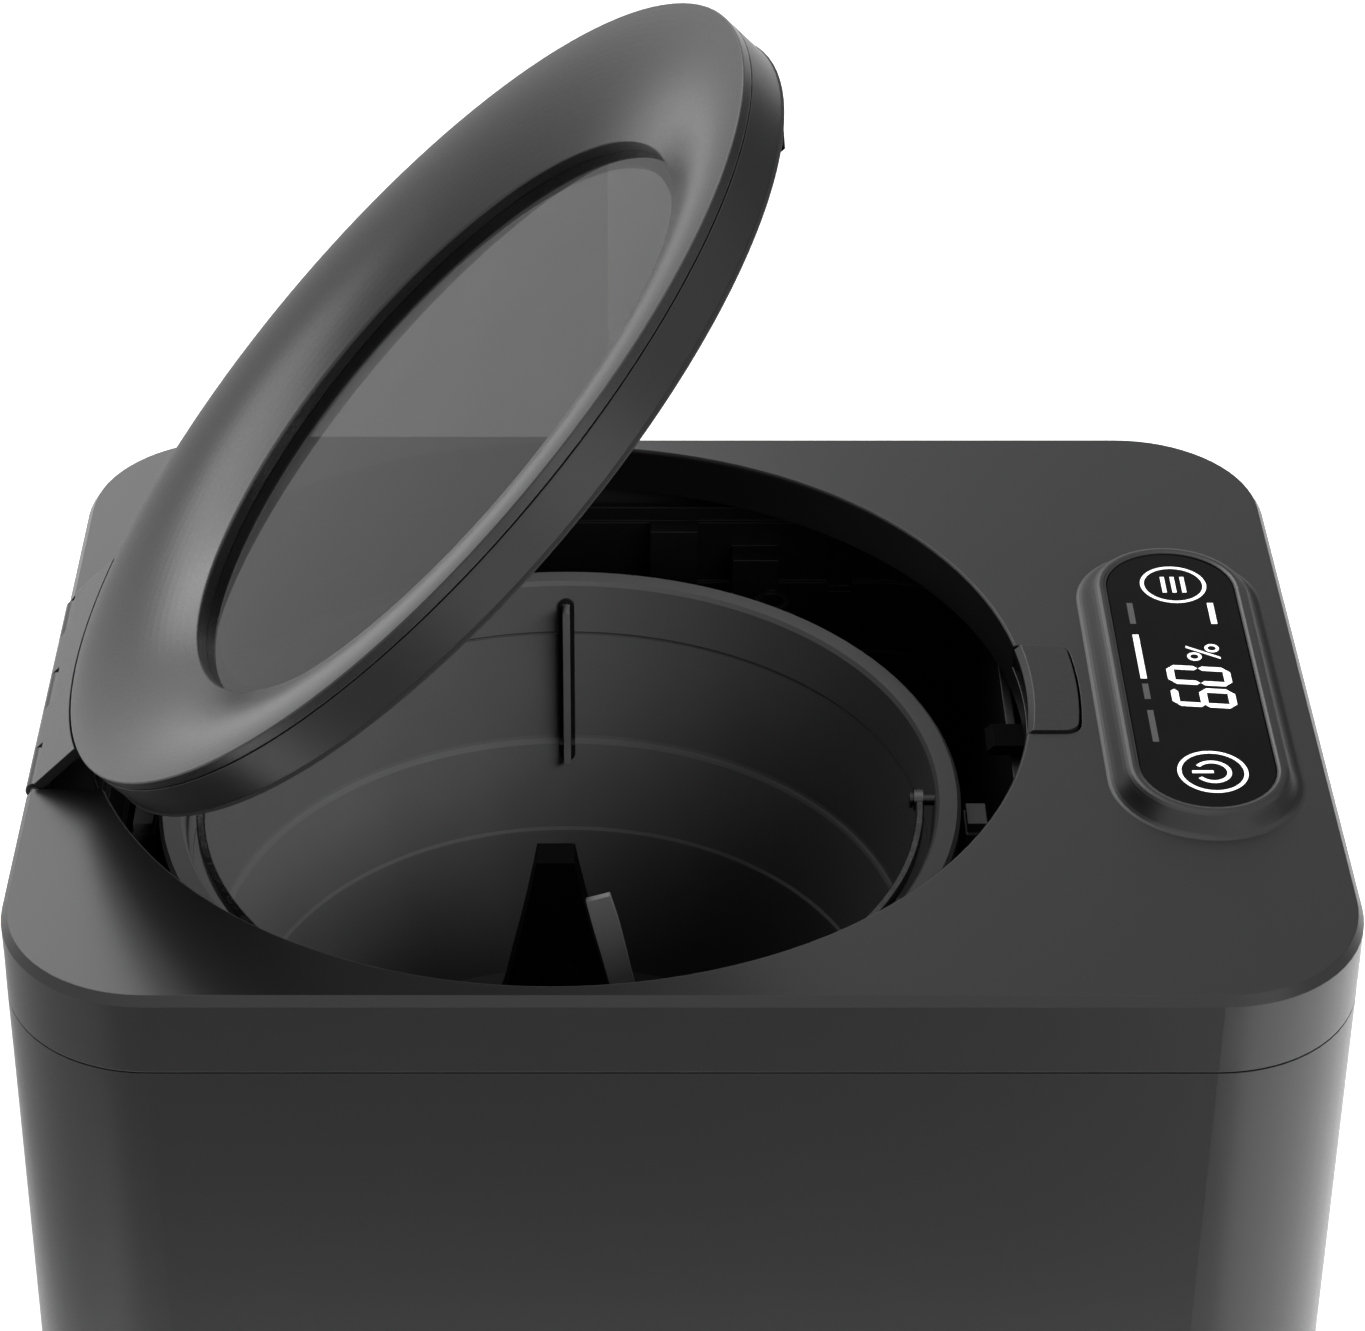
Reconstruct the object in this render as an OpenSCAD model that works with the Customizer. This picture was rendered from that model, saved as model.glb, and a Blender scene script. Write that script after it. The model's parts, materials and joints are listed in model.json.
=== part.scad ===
// Electric food waste composter with a round lid that opens at the back,
// a removable bucket with a stirrer, and a pull-out filter behind.
// Origin: middle of the footprint on the table. +Z up, front at -Y.

/* [Body] */
// Height of the deck above the table
deck_height = 345; // [340:1:355]
// Width of the deck from side to side
deck_width = 255.2; // [255:0.1:256]
// Depth of the deck from front to back
deck_depth = 330; // [330:1:333]
// Radius of the upright corners at deck level
corner_radius = 38; // [37:0.5:39]
// Outward slope of the walls in degrees
draft_angle = 0.8; // [0.7:0.1:0.9]
// Wall thickness of the body shell
shell_wall = 2.6; // [2.4:0.1:2.6]
// Height of the top cover's side band
cover_height = 22; // [21.5:0.5:22]
// Height of the bevel round the deck
bevel_height = 2.4; // [2:0.1:3]
// Width of the bevel round the deck
bevel_width = 1.6; // [1:0.1:2]
// Height of the rubber feet
foot_height = 6; // [5:1:6]

/* [Opening and lid] */
// Radius of the round opening
opening_radius = 122.3; // [122:0.1:122.4]
// Distance of the opening's centre behind the middle
opening_y = 31.3; // [31.2:0.1:31.4]
// Depth of the skirt that hangs round the opening
skirt_depth = 14; // [13.5:0.5:14]
// Gap between the lid's rim and the opening
lid_gap = 1.1; // [1:0.1:1.2]
// Thickness of the lid at its rim
lid_thickness = 14.1; // [14:0.1:14.2]
// Thickness of the lid's outer cover
lid_cover_wall = 2.6; // [2.4:0.1:2.6]
// Angle at which the lid stands open
lid_angle = 45; // [30:1:60]
// Distance of the hinge pin behind the middle
hinge_y = 163.2; // [163:0.1:163.3]
// Depth of the hinge pin below the deck, also the barrel's radius
hinge_drop = 2.4; // [2.3:0.1:2.5]
// Radius of the hinge pin
pin_radius = 1.2; // [1:0.1:1.3]
// Half the width of the hinge flap
flap_half = 44; // [43:0.5:44]
// Radius of the dished ring's inner lip
lip_radius = 85.7; // [85:0.1:86]
// Depth of the lip below the rim
dish_depth = 11.5; // [11:0.1:12]
// Thickness of the window
window_thickness = 2.8; // [2.5:0.1:3]

/* [Release button] */
// Height of the button's top above the deck
button_proud = 0.7; // [0.4:0.1:0.8]
// Width of the button
button_width = 39; // [38:1:40]
// Radial size of the button
button_depth = 13.1; // [12.5:0.1:13.1]
// Gap round the button
button_gap = 0.8; // [0.6:0.1:0.8]
// Travel of the button
button_travel = 3.5; // [3:0.5:3.5]

/* [Control pod] */
// Distance of the pod's centre in front of the middle
pod_y = 133; // [132.5:0.1:133.5]
// Half the distance between the centres of the pod's round ends
pod_half = 41; // [40:0.5:42]
// Radius of the pod's foot
pod_radius = 25; // [24.5:0.5:25]
// Height of the pod above the deck
pod_height = 5; // [4.5:0.1:5.5]
// Radius of the glass's round ends
glass_radius = 17; // [16.5:0.1:17.2]

/* [Bucket] */
// Depth of the bucket's rim below the deck
rim_drop = 32; // [32:0.5:33]
// Outer radius of the rim
rim_radius = 106.5; // [106:0.1:107]
// Inner radius of the mouth
mouth_radius = 100; // [99.5:0.1:100.2]
// Inner radius at the soft step
belly_radius = 95; // [94.5:0.1:95.2]
// Inner radius of the lower part
seat_radius = 87; // [86.5:0.1:87]
// Depth of the bucket's floor below the deck
floor_drop = 168; // [168:1:168]
// Wall thickness of the bucket
bucket_wall = 1.6; // [1.4:0.1:1.6]

/* [Drive] */
// Module of the gears
gear_module = 1; // [1:1:1]
// Teeth of the output gear and of the idler's large gear
wheel_teeth = 72; // [72:18:72]
// Teeth of the pinions
pinion_teeth = 18; // [18:1:18]
// Radius of the output shaft
output_radius = 5; // [4.5:0.5:5]

/* [Hidden] */
$fn = 96;

bevel_z = deck_height - bevel_height;
parting_z = deck_height - cover_height;
parting_gap = 0.5;
deck_plate = 3;
core_x = deck_width / 2 - corner_radius;
core_y = deck_depth / 2 - corner_radius;
lid_radius = opening_radius - lid_gap;
base_z = foot_height;
shell_z = base_z + 3;

bucket_z = deck_height - floor_drop;
rim_z = deck_height - rim_drop;
belly_z = deck_height - 84;
seat_z = deck_height - 112;
bail_z = deck_height - 36;
pot_floor_z = bucket_z - bucket_wall - 3.4;
chamber_z = seat_z - 7;
chassis_z = 149;
gearbox_z = 100;

centre_distance = gear_module * (wheel_teeth + pinion_teeth) / 2;
idler_y = opening_y - centre_distance;
motor_y = idler_y - centre_distance;

fan_x = -88;
fan_y = 120;
fan_z = 136;
fan_size = 60;
fan_height = 22;

bay_x0 = -86;
bay_x1 = 34;
bay_y0 = 84;
bay_z0 = 30;
bay_wall = 2;

inlet_x = 62;
inlet_z = 44;
inlet_pins = [[-7, -2], [0, 2], [7, -2]];

hinge_barrel = hinge_drop;
knuckle_gap = 0.3;
fixed_knuckles = [[-42, -26], [-8, 8], [26, 42]];
moving_knuckles = [[-26 + knuckle_gap, -8 - knuckle_gap], [8 + knuckle_gap, 26 - knuckle_gap]];

cover_boss = [[112, 150], [-112, 150], [112, -150], [-112, -150]];
base_boss = [[114, 153], [-114, 153], [114, -153], [-114, -153]];
chassis_posts = [[98, -135], [-98, -135], [-100, 74], [62, 128]];
feet = [[96, -112], [-96, -112], [96, 112], [-96, 112]];

function corner_at(z) = corner_radius + (bevel_z - z) * tan(draft_angle);
function smooth(t) = (1 - cos(180 * t)) / 2;
function bezier(p, t) =
    pow(1 - t, 3) * p[0] + 3 * pow(1 - t, 2) * t * p[1] + 3 * (1 - t) * t * t * p[2] + pow(t, 3) * p[3];

// Shapes shared by several pieces

// A block with upright round corners, whose corner radius goes from r0 to r1
module rounded_frustum(z0, z1, r0, r1) {
    for (i = [0:3])
        translate([(i == 0 || i == 3 ? 1 : -1) * core_x, (i < 2 ? 1 : -1) * core_y, 0])
            rotate([0, 0, 90 * i])
                rotate_extrude(angle = 90)
                    polygon([[0, z0], [r0, z0], [r1, z1], [0, z1]]);
    rotate([90, 0, 0])
        linear_extrude(2 * core_y, center = true)
            polygon([[-core_x - r0, z0], [core_x + r0, z0], [core_x + r1, z1], [-core_x - r1, z1]]);
    rotate([90, 0, 90])
        linear_extrude(2 * core_x, center = true)
            polygon([[-core_y - r0, z0], [core_y + r0, z0], [core_y + r1, z1], [-core_y - r1, z1]]);
}

// The body's outer form between two heights, drawn in by an inset
module body_block(z0, z1, inset) {
    rounded_frustum(z0, z1, corner_at(z0) - inset, corner_at(z1) - inset);
}

module stadium(half, radius) {
    union() {
        square([2 * half, 2 * radius], center = true);
        for (s = [-1, 1])
            translate([s * half, 0])
                circle(r = radius);
    }
}

// A plate with round corners between two corners of a rectangle
module rounded_plate(x0, y0, x1, y1, radius, z0, z1) {
    translate([0, 0, z0])
        linear_extrude(z1 - z0) {
            translate([x0 + radius, y0])
                square([x1 - x0 - 2 * radius, y1 - y0]);
            translate([x0, y0 + radius])
                square([x1 - x0, y1 - y0 - 2 * radius]);
            for (x = [x0 + radius, x1 - radius], y = [y0 + radius, y1 - radius])
                translate([x, y])
                    circle(r = radius);
        }
}

module box(x0, x1, y0, y1, z0, z1) {
    translate([x0, y0, z0])
        cube([x1 - x0, y1 - y0, z1 - z0]);
}

module ring(r0, r1, z0, z1) {
    difference() {
        translate([0, 0, z0])
            cylinder(r = r1, h = z1 - z0);
        translate([0, 0, z0 - 1])
            cylinder(r = r0, h = z1 - z0 + 2);
    }
}

module at_bucket() {
    translate([0, opening_y, 0])
        children();
}

// The lid is drawn shut, with its face at height 0 and its centre on the axis
module on_lid() {
    translate([0, hinge_y, deck_height - hinge_drop])
        rotate([-lid_angle, 0, 0])
            translate([0, opening_y - hinge_y, hinge_drop])
                children();
}

module along_x(x0, x1, radius) {
    translate([x0, 0, 0])
        rotate([0, 90, 0])
            cylinder(r = radius, h = x1 - x0);
}

module screw(z_head, z_tip, head_radius, shank_radius, head_height) {
    up = z_tip > z_head ? 1 : -1;
    translate([0, 0, up > 0 ? z_head - head_height : z_head])
        cylinder(r = head_radius, h = head_height);
    translate([0, 0, min(z_head, z_tip)])
        cylinder(r = shank_radius, h = abs(z_tip - z_head));
}

// Part of a ring in front of the opening, with round outer corners
module front_sector(r0, r1, half, corner) {
    corner_y = sqrt(pow(r1 - corner, 2) - pow(half - corner, 2));
    side_r = sqrt(half * half + corner_y * corner_y);
    intersection() {
        difference() {
            circle(r = r1, $fn = 256);
            circle(r = r0, $fn = 256);
        }
        translate([-(half - corner), -r1 - 1])
            square([2 * (half - corner), r1]);
    }
    intersection() {
        difference() {
            circle(r = side_r, $fn = 256);
            circle(r = r0, $fn = 256);
        }
        translate([-half, -r1 - 1])
            square([2 * half, r1]);
    }
    for (s = [-1, 1])
        translate([s * (half - corner), -corner_y])
            circle(r = corner);
}

// A coil spring swept along a helix about the Z axis
module coil(radius, wire, height, turns) {
    per_turn = 12;
    sides = 6;
    steps = turns * per_turn;
    lift = (height - 2 * wire) / steps;
    points = [
        for (i = [0:steps])
            for (j = [0:sides - 1])
                let (
                    a = 360 * i / per_turn,
                    b = 360 * j / sides,
                    r = radius + wire * cos(b)
                )
                [r * cos(a), r * sin(a), wire + lift * i + wire * sin(b)]
    ];
    faces = concat(
        [[for (j = [0:sides - 1]) j]],
        [[for (j = [sides - 1:-1:0]) steps * sides + j]],
        [
            for (i = [0:steps - 1])
                for (j = [0:sides - 1])
                    [i * sides + j, (i + 1) * sides + j, (i + 1) * sides + (j + 1) % sides]
        ],
        [
            for (i = [0:steps - 1])
                for (j = [0:sides - 1])
                    [i * sides + j, (i + 1) * sides + (j + 1) % sides, i * sides + (j + 1) % sides]
        ]
    );
    polyhedron(points, faces, convexity = 8);
}

// Body and base

module pod_profile() {
    crest = pod_radius - 6;
    polygon(concat(
        [[0, -deck_plate], [pod_radius, -deck_plate]],
        [for (i = [0:8]) [pod_radius - 6 * i / 8, pod_height * smooth(i / 8)]],
        [[crest - 0.8, pod_height], [crest - 1.4, pod_height - 0.3], [0, pod_height - 0.3]]
    ));
}

module pod_body() {
    translate([0, -pod_y, deck_height]) {
        for (s = [-1, 1])
            translate([s * pod_half, 0, 0])
                rotate([0, 0, s > 0 ? -90 : 90])
                    rotate_extrude(angle = 180)
                        pod_profile();
        for (s = [-1, 1])
            rotate([90, 0, s > 0 ? 90 : -90])
                linear_extrude(2 * pod_half, center = true)
                    pod_profile();
    }
}

module hinge_block(x0, x1) {
    translate([0, hinge_y, deck_height - hinge_drop]) {
        along_x(x0, x1, hinge_barrel);
        box(x0, x1, -hinge_barrel, 1, -5, 0);
    }
}

module top_cover() {
    notch_half = flap_half + 0.4;
    notch_floor = deck_height - 6.2;
    rear_inner = hinge_y - 1.4;
    color("dimgray")
        difference() {
            union() {
                difference() {
                    union() {
                        body_block(parting_z, bevel_z, 0);
                        rounded_frustum(bevel_z, deck_height, corner_radius, corner_radius - bevel_width);
                    }
                    body_block(parting_z - 1, deck_height - deck_plate, deck_plate);
                }
                difference() {
                    body_block(parting_z - 6, parting_z + 1, 2.8);
                    body_block(parting_z - 7, parting_z + 2, 4.6);
                }
                at_bucket()
                    translate([0, 0, deck_height - skirt_depth])
                        cylinder(r = opening_radius + 2, h = skirt_depth - 1, $fn = 256);
                pod_body();
                for (p = cover_boss)
                    translate([p[0], p[1], parting_z - 6])
                        cylinder(r = 3.2, h = cover_height + 6 - 2);
                intersection() {
                    box(-notch_half - 2, notch_half + 2, opening_y, rear_inner + 1, notch_floor - 2, deck_height - 1);
                    body_block(parting_z, deck_height, 1);
                }
            }
            at_bucket() {
                translate([0, 0, parting_z - 10])
                    cylinder(r = opening_radius, h = cover_height + 20, $fn = 256);
                translate([0, 0, deck_height - 0.5])
                    cylinder(r1 = opening_radius, r2 = opening_radius + 1, h = 1, $fn = 256);
                translate([0, 0, deck_height - 7])
                    linear_extrude(20)
                        front_sector(opening_radius - 2, opening_radius + button_depth + button_gap,
                            button_width / 2 + button_gap, 4.5);
            }
            box(-notch_half, notch_half, opening_y, rear_inner, notch_floor, deck_height + 5);
            box(-notch_half, notch_half, rear_inner - 1, hinge_y + 10, deck_height - 5.2, deck_height + 5);
            for (p = cover_boss)
                translate([p[0], p[1], parting_z - 7])
                    cylinder(r = 1.3, h = 16, $fn = 24);
            translate([0, -pod_y, deck_height + pod_height - 3.6])
                linear_extrude(10)
                    stadium(pod_half, glass_radius + 0.3);
            translate([0, -pod_y, deck_height - 5])
                linear_extrude(20)
                    stadium(pod_half, glass_radius - 3);
        }
    color("dimgray")
        difference() {
            for (k = fixed_knuckles)
                hinge_block(k[0], k[1]);
            translate([0, hinge_y, deck_height - hinge_drop])
                along_x(-60, 60, pin_radius + 0.05);
        }
}

module body_shell() {
    color("#3a3a3c")
        difference() {
            union() {
                difference() {
                    body_block(shell_z, parting_z - parting_gap, 0);
                    body_block(shell_z - 1, parting_z + 1, shell_wall);
                }
                for (p = cover_boss)
                    translate([p[0], p[1], parting_z - 22])
                        cylinder(r = 4.2, h = 16);
                for (p = base_boss)
                    translate([p[0], p[1], shell_z])
                        cylinder(r = 5, h = 18);
            }
            for (p = cover_boss)
                translate([p[0], p[1], parting_z - 23])
                    cylinder(r = 1.5, h = 20, $fn = 24);
            for (p = base_boss)
                translate([p[0], p[1], shell_z - 1])
                    cylinder(r = 1.55, h = 17, $fn = 24);
            box(bay_x0 + bay_wall, bay_x1 - bay_wall, 150, 180, bay_z0 + bay_wall, fan_z - bay_wall);
            box(inlet_x - 14.3, inlet_x + 14.3, 150, 180, inlet_z - 10.3, inlet_z + 10.3);
            for (i = [0:5])
                box(48 + 5 * i, 51 + 5 * i, 150, 180, 78, 108);
        }
}

module base_plate() {
    color("#2c2c2e")
        difference() {
            union() {
                body_block(base_z, shell_z, 0);
                difference() {
                    body_block(shell_z - 0.5, shell_z + 9, shell_wall + 0.3);
                    body_block(shell_z - 1, shell_z + 10, shell_wall + 2.4);
                    for (p = base_boss)
                        translate([p[0], p[1], shell_z - 0.5])
                            cylinder(r = 5.6, h = 12);
                }
                for (p = chassis_posts)
                    translate([p[0], p[1], shell_z - 0.5])
                        cylinder(r = 6, h = chassis_z - shell_z + 0.5);
                box(109, 119, -72, 72, shell_z - 0.5, 36);
            }
            for (p = base_boss) {
                translate([p[0], p[1], base_z - 1])
                    cylinder(r = 3.8, h = 2.6, $fn = 32);
                translate([p[0], p[1], base_z])
                    cylinder(r = 1.8, h = 5, $fn = 24);
            }
            for (p = chassis_posts)
                translate([p[0], p[1], chassis_z - 20])
                    cylinder(r = 1.6, h = 30, $fn = 24);
            for (p = feet)
                translate([p[0], p[1], base_z - 1])
                    cylinder(r = 4.1, h = 10, $fn = 32);
            box(112.9, 114.7, -80, 80, 30, 40);
            for (i = [0:7])
                box(-60 + 12 * i, -54 + 12 * i, -110, -60, base_z - 1, shell_z + 1);
        }
}

module rubber_feet() {
    color("#1b1b1c")
        for (p = feet)
            translate([p[0], p[1], 0]) {
                cylinder(r1 = 10, r2 = 11, h = 1);
                translate([0, 0, 1])
                    cylinder(r = 11, h = foot_height - 1);
                cylinder(r = 4, h = base_z + 4);
            }
}

module body_screws() {
    color("silver") {
        for (p = base_boss)
            translate([p[0], p[1], 0])
                screw(base_z + 1.6, base_z + 17, 3.4, 1.5, 1.5, $fn = 24);
        for (p = cover_boss)
            translate([p[0], p[1], 0])
                screw(parting_z - 22, parting_z + 7, 2.4, 1.25, 2, $fn = 24);
        for (p = chassis_posts)
            translate([p[0], p[1], 0])
                screw(chassis_z + 2, chassis_z - 14, 4, 1.55, 2.4, $fn = 24);
        for (p = gearbox_ears())
            translate([p[0], p[1], 0])
                screw(chassis_z + 2, chassis_z - 14, 4, 1.55, 2.4, $fn = 24);
    }
}

// Inner chamber and chassis

module chamber_block(inset, front_inset, z0, z1) {
    rounded_plate(-121.5 + inset, -90 + front_inset, 121.5 - inset, 152.5 - inset, 32 - inset, z0, z1);
}

module inner_chamber() {
    top_z = deck_height - 18.5;
    boss = [105, -28.3];
    boss_z = deck_height - 41.4;
    // The wall is plain in front and has ledges on the other sides:
    // how far each stands in, and its depths below the deck
    front_wall = 2.5;
    ledges = [[2.5, 23, 12], [3.6, 43, 22], [4.8, 67, 42], [6, 73, 66], [4.8, deck_height - chamber_z - 3, 72]];
    color("#161617") {
        difference() {
            chamber_block(0, 0, chamber_z, top_z);
            for (l = ledges)
                chamber_block(l[0], front_wall, deck_height - l[1], deck_height - l[2]);
            at_bucket()
                translate([0, 0, chamber_z - 1])
                    cylinder(r = seat_radius + 6.2, h = 10);
            translate([fan_x, fan_y, chamber_z - 1])
                cylinder(r = 20, h = 10);
            // Notch in the far wall
            box(114, 119.4, -52, -45.1, deck_height - 46, deck_height - 28);
        }
        // Hollow boss with its rib to the wall, and two pads on the wall behind it
        difference() {
            translate([boss[0], boss[1], chamber_z])
                cylinder(r = 5, h = boss_z - chamber_z, $fn = 48);
            translate([boss[0], boss[1], boss_z - 13.6])
                cylinder(r = 3.4, h = 20, $fn = 32);
        }
        box(boss[0], 112, boss[1] - 1.7, boss[1] + 1.7, chamber_z, deck_height - 50);
        box(112, 118, -6.8, 7, deck_height - 72, deck_height - 22.5);
        box(110, 118, -30.4, -16.9, deck_height - 72, deck_height - 31);
        // Feet on the chassis plate
        for (p = [[105, -70], [-105, -70], [105, 128], [-108, 62]])
            translate([p[0], p[1], chassis_z + 2])
                cylinder(r = 6, h = chamber_z - chassis_z - 1.5);
    }
}

module bucket_locators() {
    color("#333335")
        for (side = [-1, 1])
            translate([0, opening_y + side * 110.9, 0]) {
                box(-9, 2, -3, 3, chamber_z + 3, deck_height - 41);
                box(-8, 1, -2.6, 2.6, deck_height - 41.5, deck_height - 38);
            }
}

module chassis_plate() {
    color("silver")
        difference() {
            rounded_plate(-118, -146, 118, 142, 20, chassis_z, chassis_z + 2);
            for (p = chassis_posts)
                translate([p[0], p[1], chassis_z - 1])
                    cylinder(r = 1.8, h = 4, $fn = 24);
            for (p = gearbox_ears())
                translate([p[0], p[1], chassis_z - 1])
                    cylinder(r = 1.8, h = 4, $fn = 24);
            at_bucket()
                translate([0, 0, chassis_z - 1])
                    cylinder(r = 13, h = 4);
            box(fan_x - 31.5, fan_x + 31.5, fan_y - 31.5, fan_y + 31.5, chassis_z - 1, chassis_z + 3);
            box(-40, 40, -140, -100, chassis_z - 1, chassis_z + 3);
        }
}

// Control panel

module control_glass() {
    color("black")
        translate([0, -pod_y, deck_height + pod_height - 3.6])
            linear_extrude(3)
                stadium(pod_half, glass_radius);
}

module display_board() {
    color("darkgreen")
        box(-57, 57, -pod_y - 16, -pod_y + 16, deck_height - deck_plate - 1.6, deck_height - deck_plate);
}

module digit_module() {
    color("gray")
        box(-18, 17, -pod_y - 12.5, -pod_y + 8, deck_height - deck_plate, deck_height + pod_height - 3.8);
}

module touch_pads() {
    color("goldenrod")
        for (x = [-43, 43])
            translate([x, -pod_y, deck_height - deck_plate])
                cylinder(r = 6, h = pod_height - 0.8);
}

module lid_sensor() {
    color("black")
        translate([-88, -76, deck_height - deck_plate - 8])
            cube([9, 7, 8]);
}

// Lid

// Height of the dished ring at a radius: flat at the rim and steepest at the lip
function dish(r) =
    let (outer = lid_radius - 0.5, inner = lip_radius + 0.5)
    r >= outer ? 0 : r <= inner ? -dish_depth : -dish_depth * pow((outer - r) / (outer - inner), 2);

module lid_cover() {
    steps = 20;
    outer = lid_radius - 0.5;
    inner = lip_radius + 0.5;
    lip_angle = atan(2 * dish_depth / (outer - inner));
    lip_round = (inner - lip_radius) / (1 - sin(lip_angle));
    glass_top = -dish_depth - 3.5;
    under = 89.5;
    color("dimgray")
        on_lid()
            difference() {
                rotate_extrude($fn = 256)
                    polygon(concat(
                        [[lid_radius, -lid_cover_wall], [lid_radius, -0.3], [lid_radius - 0.3, 0]],
                        [for (i = [0:steps]) let (r = outer + (inner - outer) * i / steps) [r, dish(r)]],
                        [for (i = [1:4]) let (a = lip_angle + (90 - lip_angle) * i / 4) [
                            lip_radius + lip_round * (1 - sin(a)),
                            -dish_depth - lip_round * (cos(lip_angle) - cos(a))
                        ]],
                        [[lip_radius, glass_top], [under, glass_top]],
                        [for (i = [0:steps]) let (r = under + (117 - under) * i / steps) [r, dish(r) - 2.8]],
                        [[117, -6], [118.6, -6], [118.6, -lid_cover_wall]]
                    ));
                intersection() {
                    ring(116, 120, -7, -lid_cover_wall - 0.1);
                    box(-38.5, 38.5, 100, 125, -8, 0);
                }
            }
    color("dimgray")
        on_lid()
            for (a = [0:60:300])
                rotate([0, 0, a])
                    translate([108, 0, 0])
                        difference() {
                            translate([0, 0, -10.8])
                                cylinder(r = 3.4, h = 8, $fn = 32);
                            translate([0, 0, -12])
                                cylinder(r = 1.3, h = 6, $fn = 24);
                        }
}

module lid_pan() {
    color("#38383a")
        on_lid()
            difference() {
                rotate_extrude($fn = 256)
                    polygon([
                        [lid_radius, -3], [lid_radius, -lid_thickness + 1.3], [105, -lid_thickness + 1.3],
                        [94, -17.8], [90.3, -17.8], [90.3, -15.2], [93.2, -15.2],
                        [104.4, -10.8], [119.1, -10.8], [119.1, -3]
                    ]);
                for (a = [0:60:300])
                    rotate([0, 0, a])
                        translate([108, 0, -16])
                            cylinder(r = 1.6, h = 10, $fn = 24);
                box(-38.5, 38.5, 110, 125, -5.6, 0);
                box(-6.3, 6.3, -115.3, -113.3, -20, 0);
            }
}

module lid_flap() {
    flap_y = hinge_y - opening_y;
    ring_r = lid_radius + 0.45;
    clear = hinge_barrel + 0.4;
    color("dimgray")
        on_lid()
            difference() {
                union() {
                    translate([0, 0, -lid_cover_wall])
                        linear_extrude(lid_cover_wall)
                            difference() {
                                translate([-flap_half, 100])
                                    square([2 * flap_half, flap_y - 100]);
                                circle(r = ring_r, $fn = 256);
                            }
                    translate([0, 0, -5.3])
                        linear_extrude(2)
                            intersection() {
                                difference() {
                                    circle(r = 126, $fn = 256);
                                    circle(r = 114.8, $fn = 256);
                                }
                                translate([-38, 100])
                                    square([76, 30]);
                            }
                    translate([0, 0, -4])
                        linear_extrude(2)
                            intersection() {
                                difference() {
                                    circle(r = 126, $fn = 256);
                                    circle(r = ring_r, $fn = 256);
                                }
                                translate([-38, 100])
                                    square([76, 30]);
                            }
                    for (k = moving_knuckles)
                        translate([0, flap_y, -hinge_drop])
                            along_x(k[0], k[1], hinge_barrel);
                }
                for (k = fixed_knuckles)
                    box(k[0] - knuckle_gap, k[1] + knuckle_gap, flap_y - clear, flap_y + 5, -8, 1);
                for (s = [-1, 1])
                    box(s > 0 ? 42 : -50, s > 0 ? 50 : -42, flap_y - clear, flap_y + 5, -8, 1);
                translate([0, flap_y, -hinge_drop])
                    along_x(-60, 60, pin_radius + 0.05);
            }
}

module lid_window() {
    color([0.2, 0.2, 0.2, 0.5])
        on_lid()
            translate([0, 0, -dish_depth - 3.5 - window_thickness])
                cylinder(r = 88.4, h = window_thickness, $fn = 256);
}

module window_gasket() {
    color("black")
        on_lid()
            ring(88.4, 90.2, -dish_depth - 3.5 - window_thickness, -dish_depth - 3.5, $fn = 256);
}

module window_retainer() {
    color("#38383a")
        on_lid()
            ring(82, 93.6, -dish_depth - 5 - window_thickness, -dish_depth - 3.5 - window_thickness, $fn = 256);
}

module lid_seal() {
    color("black")
        on_lid()
            difference() {
                rotate_extrude($fn = 256)
                    polygon([
                        [112, -lid_thickness + 1.3], [112, -lid_thickness], [lid_radius - 0.3, -lid_thickness],
                        [lid_radius + 0.3, -lid_thickness + 0.6], [lid_radius, -lid_thickness + 1.3]
                    ]);
                box(-6.3, 6.3, -115.5, -113.1, -20, 0);
            }
}

module latch_striker() {
    color("silver")
        on_lid()
            difference() {
                union() {
                    box(-6, 6, -115.2, -113.7, -20.2, -10.8);
                    box(-6, 6, -115.2, -106, -10.8, -9.6);
                }
                box(-5.4, 5.4, -117, -112, -18.2, -14.3);
            }
}

module lid_magnet() {
    color("silver")
        on_lid()
            translate([-70, -85, -10.8])
                cylinder(r = 4, h = 3, $fn = 32);
}

module lid_screws() {
    color("silver")
        on_lid()
            for (a = [0:60:300])
                rotate([0, 0, a])
                    translate([108, 0, 0])
                        screw(-lid_thickness + 1.3, -7, 2.8, 1.25, 1.4, $fn = 24);
}

module hinge_pin() {
    color("silver")
        translate([0, hinge_y, deck_height - hinge_drop])
            along_x(-42, 42, pin_radius);
}

// Release button and latch

module button_ramp(gap) {
    ramp = deck_height - 105 + gap;
    rotate([90, 0, 90])
        linear_extrude(12, center = true)
            polygon([
                [-99, deck_height - 2.5], [-94, deck_height - 2.5],
                [-94, ramp + 94], [-99, ramp + 99]
            ]);
}

module release_button() {
    top = deck_height + button_proud;
    color("dimgray") {
        difference() {
            at_bucket()
                translate([0, 0, deck_height - deck_plate])
                    linear_extrude(deck_plate + button_proud)
                        front_sector(opening_radius, opening_radius + button_depth, button_width / 2, 4);
            at_bucket()
                translate([0, 0, top - 1.6])
                    cylinder(r1 = opening_radius, r2 = opening_radius + 2.4, h = 2.4, $fn = 256);
        }
        button_ramp(0.1);
        for (x = [-13.5, 13.5])
            translate([x, -98, deck_height - 12])
                cylinder(r = 2.2, h = 10, $fn = 32);
    }
}

module button_springs() {
    color("silver")
        for (x = [-13.5, 13.5])
            translate([x, -98, deck_height - 18.1])
                coil(3, 0.35, 15.1, 6);
}

module latch_slide() {
    z = deck_height;
    color("black")
        difference() {
            rotate([90, 0, 90])
                linear_extrude(14, center = true)
                    polygon([
                        [-104, z - 17.8], [-81.2, z - 17.8], [-81.2, z - 16.4], [-83, z - 14.8],
                        [-93.6, z - 14.8], [-93.6, z - 11.4], [-96, z - 9], [-104, z - 9]
                    ]);
            for (s = [-1, 1])
                box(s > 0 ? 5 : -9, s > 0 ? 9 : -5, -94, -80, z - 20, z - 10);
        }
}

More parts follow.
